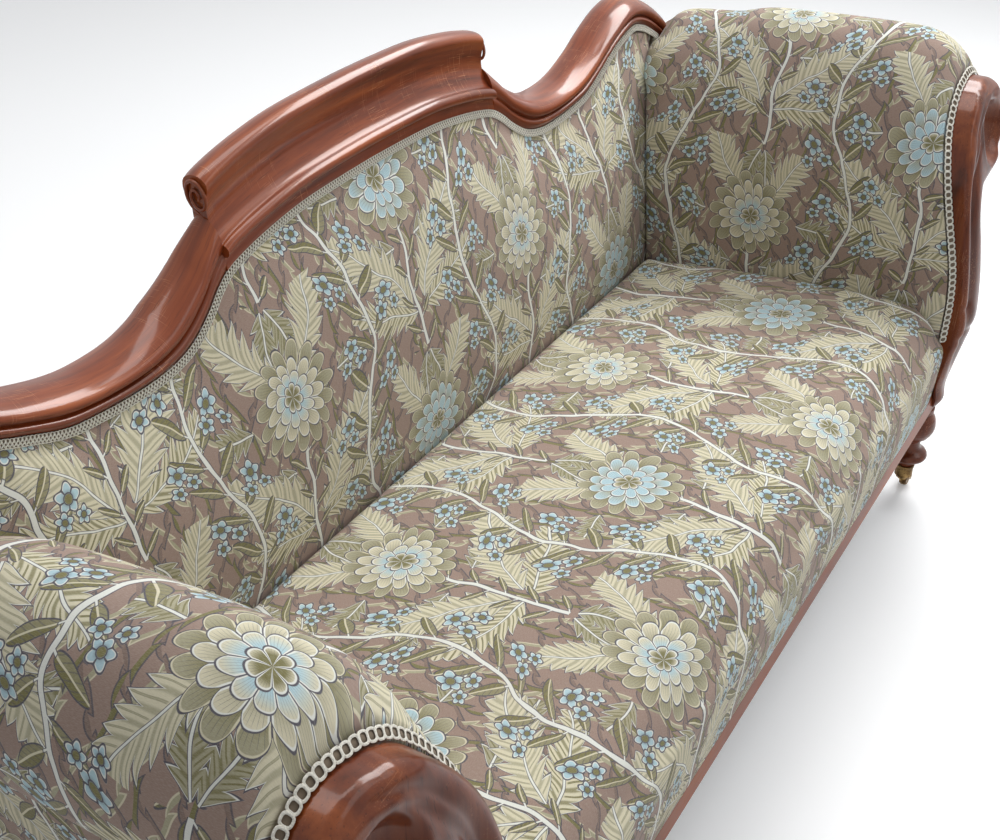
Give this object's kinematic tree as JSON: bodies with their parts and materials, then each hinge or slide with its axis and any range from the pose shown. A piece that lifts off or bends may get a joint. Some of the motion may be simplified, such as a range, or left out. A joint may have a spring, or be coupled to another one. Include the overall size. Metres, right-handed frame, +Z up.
{
  "type": "settee",
  "caption": "Three-seater settee: raised scrolled show-wood back, padded scroll arms with carved facings, sprung seat, turned front legs and plain rear legs on swivel casters.",
  "frame": {"origin": "on the floor under the middle of the part's length and depth", "axes": "+X along the length to the right as seen from the front, -Y to the front, +Z up"},
  "size_m": [2.0606, 0.7954, 0.989],
  "materials": {
    "show_wood": "polished",
    "plain_wood": "satin",
    "frame_wood": "raw",
    "cover_cloth": "woven",
    "gimp_braid": "braided",
    "hessian": "woven",
    "webbing": "woven",
    "bottom_cloth": "woven",
    "steel": "satin",
    "brass": "dull"
  },
  "bodies": {
    "settee": {"crest_rail": "show_wood", "left_shoulder_rail": "show_wood", "right_shoulder_rail": "show_wood", "left_arm_facing": "show_wood", "right_arm_facing": "show_wood", "front_show_moulding": "show_wood", "front_seat_rail": "frame_wood", "rear_seat_rail": "frame_wood", "left_side_rail": "frame_wood", "right_side_rail": "frame_wood", "seat_cross_rail": "frame_wood", "corner_blocks": "frame_wood", "left_back_stile": "frame_wood", "right_back_stile": "frame_wood", "back_muntins": "frame_wood", "back_tack_rails": "frame_wood", "left_arm_rail": "frame_wood", "right_arm_rail": "frame_wood", "left_arm_post": "frame_wood", "right_arm_post": "frame_wood", "arm_tack_rails": "frame_wood", "front_left_leg": "show_wood", "front_right_leg": "show_wood", "rear_left_leg": "plain_wood", "rear_right_leg": "plain_wood", "seat_pad": "cover_cloth", "back_pad": "cover_cloth", "left_arm_pad": "cover_cloth", "right_arm_pad": "cover_cloth", "left_outside_arm": "cover_cloth", "right_outside_arm": "cover_cloth", "left_roll_end": "cover_cloth", "right_roll_end": "cover_cloth", "outside_back": "cover_cloth", "bottom_cloth": "bottom_cloth", "seat_webbing": "webbing", "seat_springs": "steel", "spring_hessian": "hessian", "back_canvas": "hessian", "back_gimp": "gimp_braid", "left_arm_gimp": "gimp_braid", "right_arm_gimp": "gimp_braid", "leg_dowels": "frame_wood", "facing_screws": "steel", "front_left_cup": "brass", "front_right_cup": "brass", "rear_left_cup": "brass", "rear_right_cup": "brass"},
    "front_left_swivel": {"front_left_fork": "brass", "front_left_axle": "steel"},
    "front_left_roller": {"front_left_wheel": "brass"},
    "front_right_swivel": {"front_right_fork": "brass", "front_right_axle": "steel"},
    "front_right_roller": {"front_right_wheel": "brass"},
    "rear_left_swivel": {"rear_left_fork": "brass", "rear_left_axle": "steel"},
    "rear_left_roller": {"rear_left_wheel": "brass"},
    "rear_right_swivel": {"rear_right_fork": "brass", "rear_right_axle": "steel"},
    "rear_right_roller": {"rear_right_wheel": "brass"}
  },
  "joints": [
    {"name": "front_left_swivel_turn", "type": "hinge", "parent": "settee", "child": "front_left_swivel", "pos_m": [-0.85, -0.32969, 0.038], "axis": [0, 0, 1], "continuous": true},
    {"name": "front_left_wheel_roll", "type": "hinge", "parent": "front_left_swivel", "child": "front_left_roller", "pos_m": [-0.878, -0.32969, 0.02], "axis": [0, 1, 0], "continuous": true},
    {"name": "front_right_swivel_turn", "type": "hinge", "parent": "settee", "child": "front_right_swivel", "pos_m": [0.85, -0.32969, 0.038], "axis": [0, 0, 1], "continuous": true},
    {"name": "front_right_wheel_roll", "type": "hinge", "parent": "front_right_swivel", "child": "front_right_roller", "pos_m": [0.878, -0.32969, 0.02], "axis": [0, 1, 0], "continuous": true},
    {"name": "rear_left_swivel_turn", "type": "hinge", "parent": "settee", "child": "rear_left_swivel", "pos_m": [-0.848, 0.31979, 0.038], "axis": [0, 0, 1], "continuous": true},
    {"name": "rear_left_wheel_roll", "type": "hinge", "parent": "rear_left_swivel", "child": "rear_left_roller", "pos_m": [-0.876, 0.31979, 0.02], "axis": [0, 1, 0], "continuous": true},
    {"name": "rear_right_swivel_turn", "type": "hinge", "parent": "settee", "child": "rear_right_swivel", "pos_m": [0.848, 0.31979, 0.038], "axis": [0, 0, 1], "continuous": true},
    {"name": "rear_right_wheel_roll", "type": "hinge", "parent": "rear_right_swivel", "child": "rear_right_roller", "pos_m": [0.876, 0.31979, 0.02], "axis": [0, 1, 0], "continuous": true}
  ]
}
